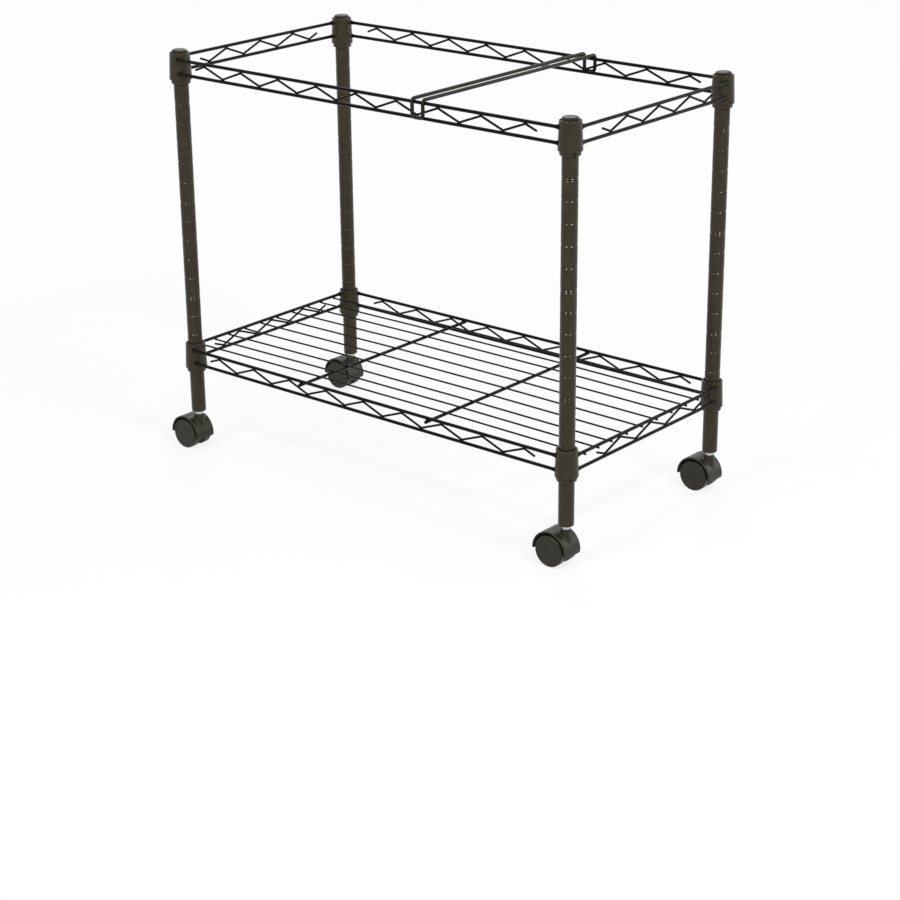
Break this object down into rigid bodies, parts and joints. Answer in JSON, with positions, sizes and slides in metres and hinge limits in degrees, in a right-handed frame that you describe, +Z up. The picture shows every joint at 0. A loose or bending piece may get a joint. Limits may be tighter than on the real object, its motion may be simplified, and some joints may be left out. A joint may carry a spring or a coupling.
{
  "type": "mobile file cart",
  "caption": "Rolling wire file cart: an open file frame with a sliding wire divider over a wire shelf, clipped to grooved round posts on swivelling twin-wheel casters.",
  "frame": {"origin": "on the floor, at the middle of the whole cart's footprint", "axes": "+Z up, X along the long sides, the front long side at -Y, the casters trailing towards -X"},
  "size_m": [0.6624, 0.3314, 0.5323],
  "materials": {
    "coated_steel": "satin black-brown powder coat",
    "black_plastic": "satin",
    "caster_plastic": "fine moulded grain",
    "bright_steel": "bright plated"
  },
  "bodies": {
    "frame": {"post_front_left": "coated_steel", "cap_front_left": "black_plastic", "top_collar_front_left": "coated_steel", "top_sleeve_front_left": "black_plastic", "shelf_collar_front_left": "coated_steel", "shelf_sleeve_front_left": "black_plastic", "stem_socket_front_left": "black_plastic", "stem_front_left": "bright_steel", "post_front_right": "coated_steel", "cap_front_right": "black_plastic", "top_collar_front_right": "coated_steel", "top_sleeve_front_right": "black_plastic", "shelf_collar_front_right": "coated_steel", "shelf_sleeve_front_right": "black_plastic", "stem_socket_front_right": "black_plastic", "stem_front_right": "bright_steel", "post_back_left": "coated_steel", "cap_back_left": "black_plastic", "top_collar_back_left": "coated_steel", "top_sleeve_back_left": "black_plastic", "shelf_collar_back_left": "coated_steel", "shelf_sleeve_back_left": "black_plastic", "stem_socket_back_left": "black_plastic", "stem_back_left": "bright_steel", "post_back_right": "coated_steel", "cap_back_right": "black_plastic", "top_collar_back_right": "coated_steel", "top_sleeve_back_right": "black_plastic", "shelf_collar_back_right": "coated_steel", "shelf_sleeve_back_right": "black_plastic", "stem_socket_back_right": "black_plastic", "stem_back_right": "bright_steel", "top_truss_front": "coated_steel", "top_truss_back": "coated_steel", "top_truss_left": "coated_steel", "top_truss_right": "coated_steel", "shelf_truss_front": "coated_steel", "shelf_truss_back": "coated_steel", "shelf_truss_left": "coated_steel", "shelf_truss_right": "coated_steel", "shelf_deck": "coated_steel"},
    "caster_front_left": {"hood_front_left": "caster_plastic", "axle_front_left": "bright_steel"},
    "wheel_front_left_a": {"wheel_front_left_a": "caster_plastic"},
    "wheel_front_left_b": {"wheel_front_left_b": "caster_plastic"},
    "caster_front_right": {"hood_front_right": "caster_plastic", "axle_front_right": "bright_steel"},
    "wheel_front_right_a": {"wheel_front_right_a": "caster_plastic"},
    "wheel_front_right_b": {"wheel_front_right_b": "caster_plastic"},
    "caster_back_left": {"hood_back_left": "caster_plastic", "axle_back_left": "bright_steel"},
    "wheel_back_left_a": {"wheel_back_left_a": "caster_plastic"},
    "wheel_back_left_b": {"wheel_back_left_b": "caster_plastic"},
    "caster_back_right": {"hood_back_right": "caster_plastic", "axle_back_right": "bright_steel"},
    "wheel_back_right_a": {"wheel_back_right_a": "caster_plastic"},
    "wheel_back_right_b": {"wheel_back_right_b": "caster_plastic"},
    "divider": {"file_divider": "coated_steel"}
  },
  "joints": [
    {"name": "swivel_front_left", "type": "hinge", "parent": "frame", "child": "caster_front_left", "pos_m": [-0.29284, -0.149, 0.01962], "axis": [0, 0, 1], "continuous": true},
    {"name": "roll_front_left_a", "type": "hinge", "parent": "caster_front_left", "child": "wheel_front_left_a", "pos_m": [-0.30684, -0.149, 0.01962], "axis": [0, 1, 0], "continuous": true},
    {"name": "roll_front_left_b", "type": "hinge", "parent": "caster_front_left", "child": "wheel_front_left_b", "pos_m": [-0.30684, -0.149, 0.01962], "axis": [0, 1, 0], "continuous": true},
    {"name": "swivel_front_right", "type": "hinge", "parent": "frame", "child": "caster_front_right", "pos_m": [0.31716, -0.149, 0.01962], "axis": [0, 0, 1], "continuous": true},
    {"name": "roll_front_right_a", "type": "hinge", "parent": "caster_front_right", "child": "wheel_front_right_a", "pos_m": [0.30316, -0.149, 0.01962], "axis": [0, 1, 0], "continuous": true},
    {"name": "roll_front_right_b", "type": "hinge", "parent": "caster_front_right", "child": "wheel_front_right_b", "pos_m": [0.30316, -0.149, 0.01962], "axis": [0, 1, 0], "continuous": true},
    {"name": "swivel_back_left", "type": "hinge", "parent": "frame", "child": "caster_back_left", "pos_m": [-0.29284, 0.149, 0.01962], "axis": [0, 0, 1], "continuous": true},
    {"name": "roll_back_left_a", "type": "hinge", "parent": "caster_back_left", "child": "wheel_back_left_a", "pos_m": [-0.30684, 0.149, 0.01962], "axis": [0, 1, 0], "continuous": true},
    {"name": "roll_back_left_b", "type": "hinge", "parent": "caster_back_left", "child": "wheel_back_left_b", "pos_m": [-0.30684, 0.149, 0.01962], "axis": [0, 1, 0], "continuous": true},
    {"name": "swivel_back_right", "type": "hinge", "parent": "frame", "child": "caster_back_right", "pos_m": [0.31716, 0.149, 0.01962], "axis": [0, 0, 1], "continuous": true},
    {"name": "roll_back_right_a", "type": "hinge", "parent": "caster_back_right", "child": "wheel_back_right_a", "pos_m": [0.30316, 0.149, 0.01962], "axis": [0, 1, 0], "continuous": true},
    {"name": "roll_back_right_b", "type": "hinge", "parent": "caster_back_right", "child": "wheel_back_right_b", "pos_m": [0.30316, 0.149, 0.01962], "axis": [0, 1, 0], "continuous": true},
    {"name": "divider_slide", "type": "slide", "parent": "frame", "child": "divider", "axis": [1, 0, 0], "range_m": [-0.369, 0.171]}
  ]
}
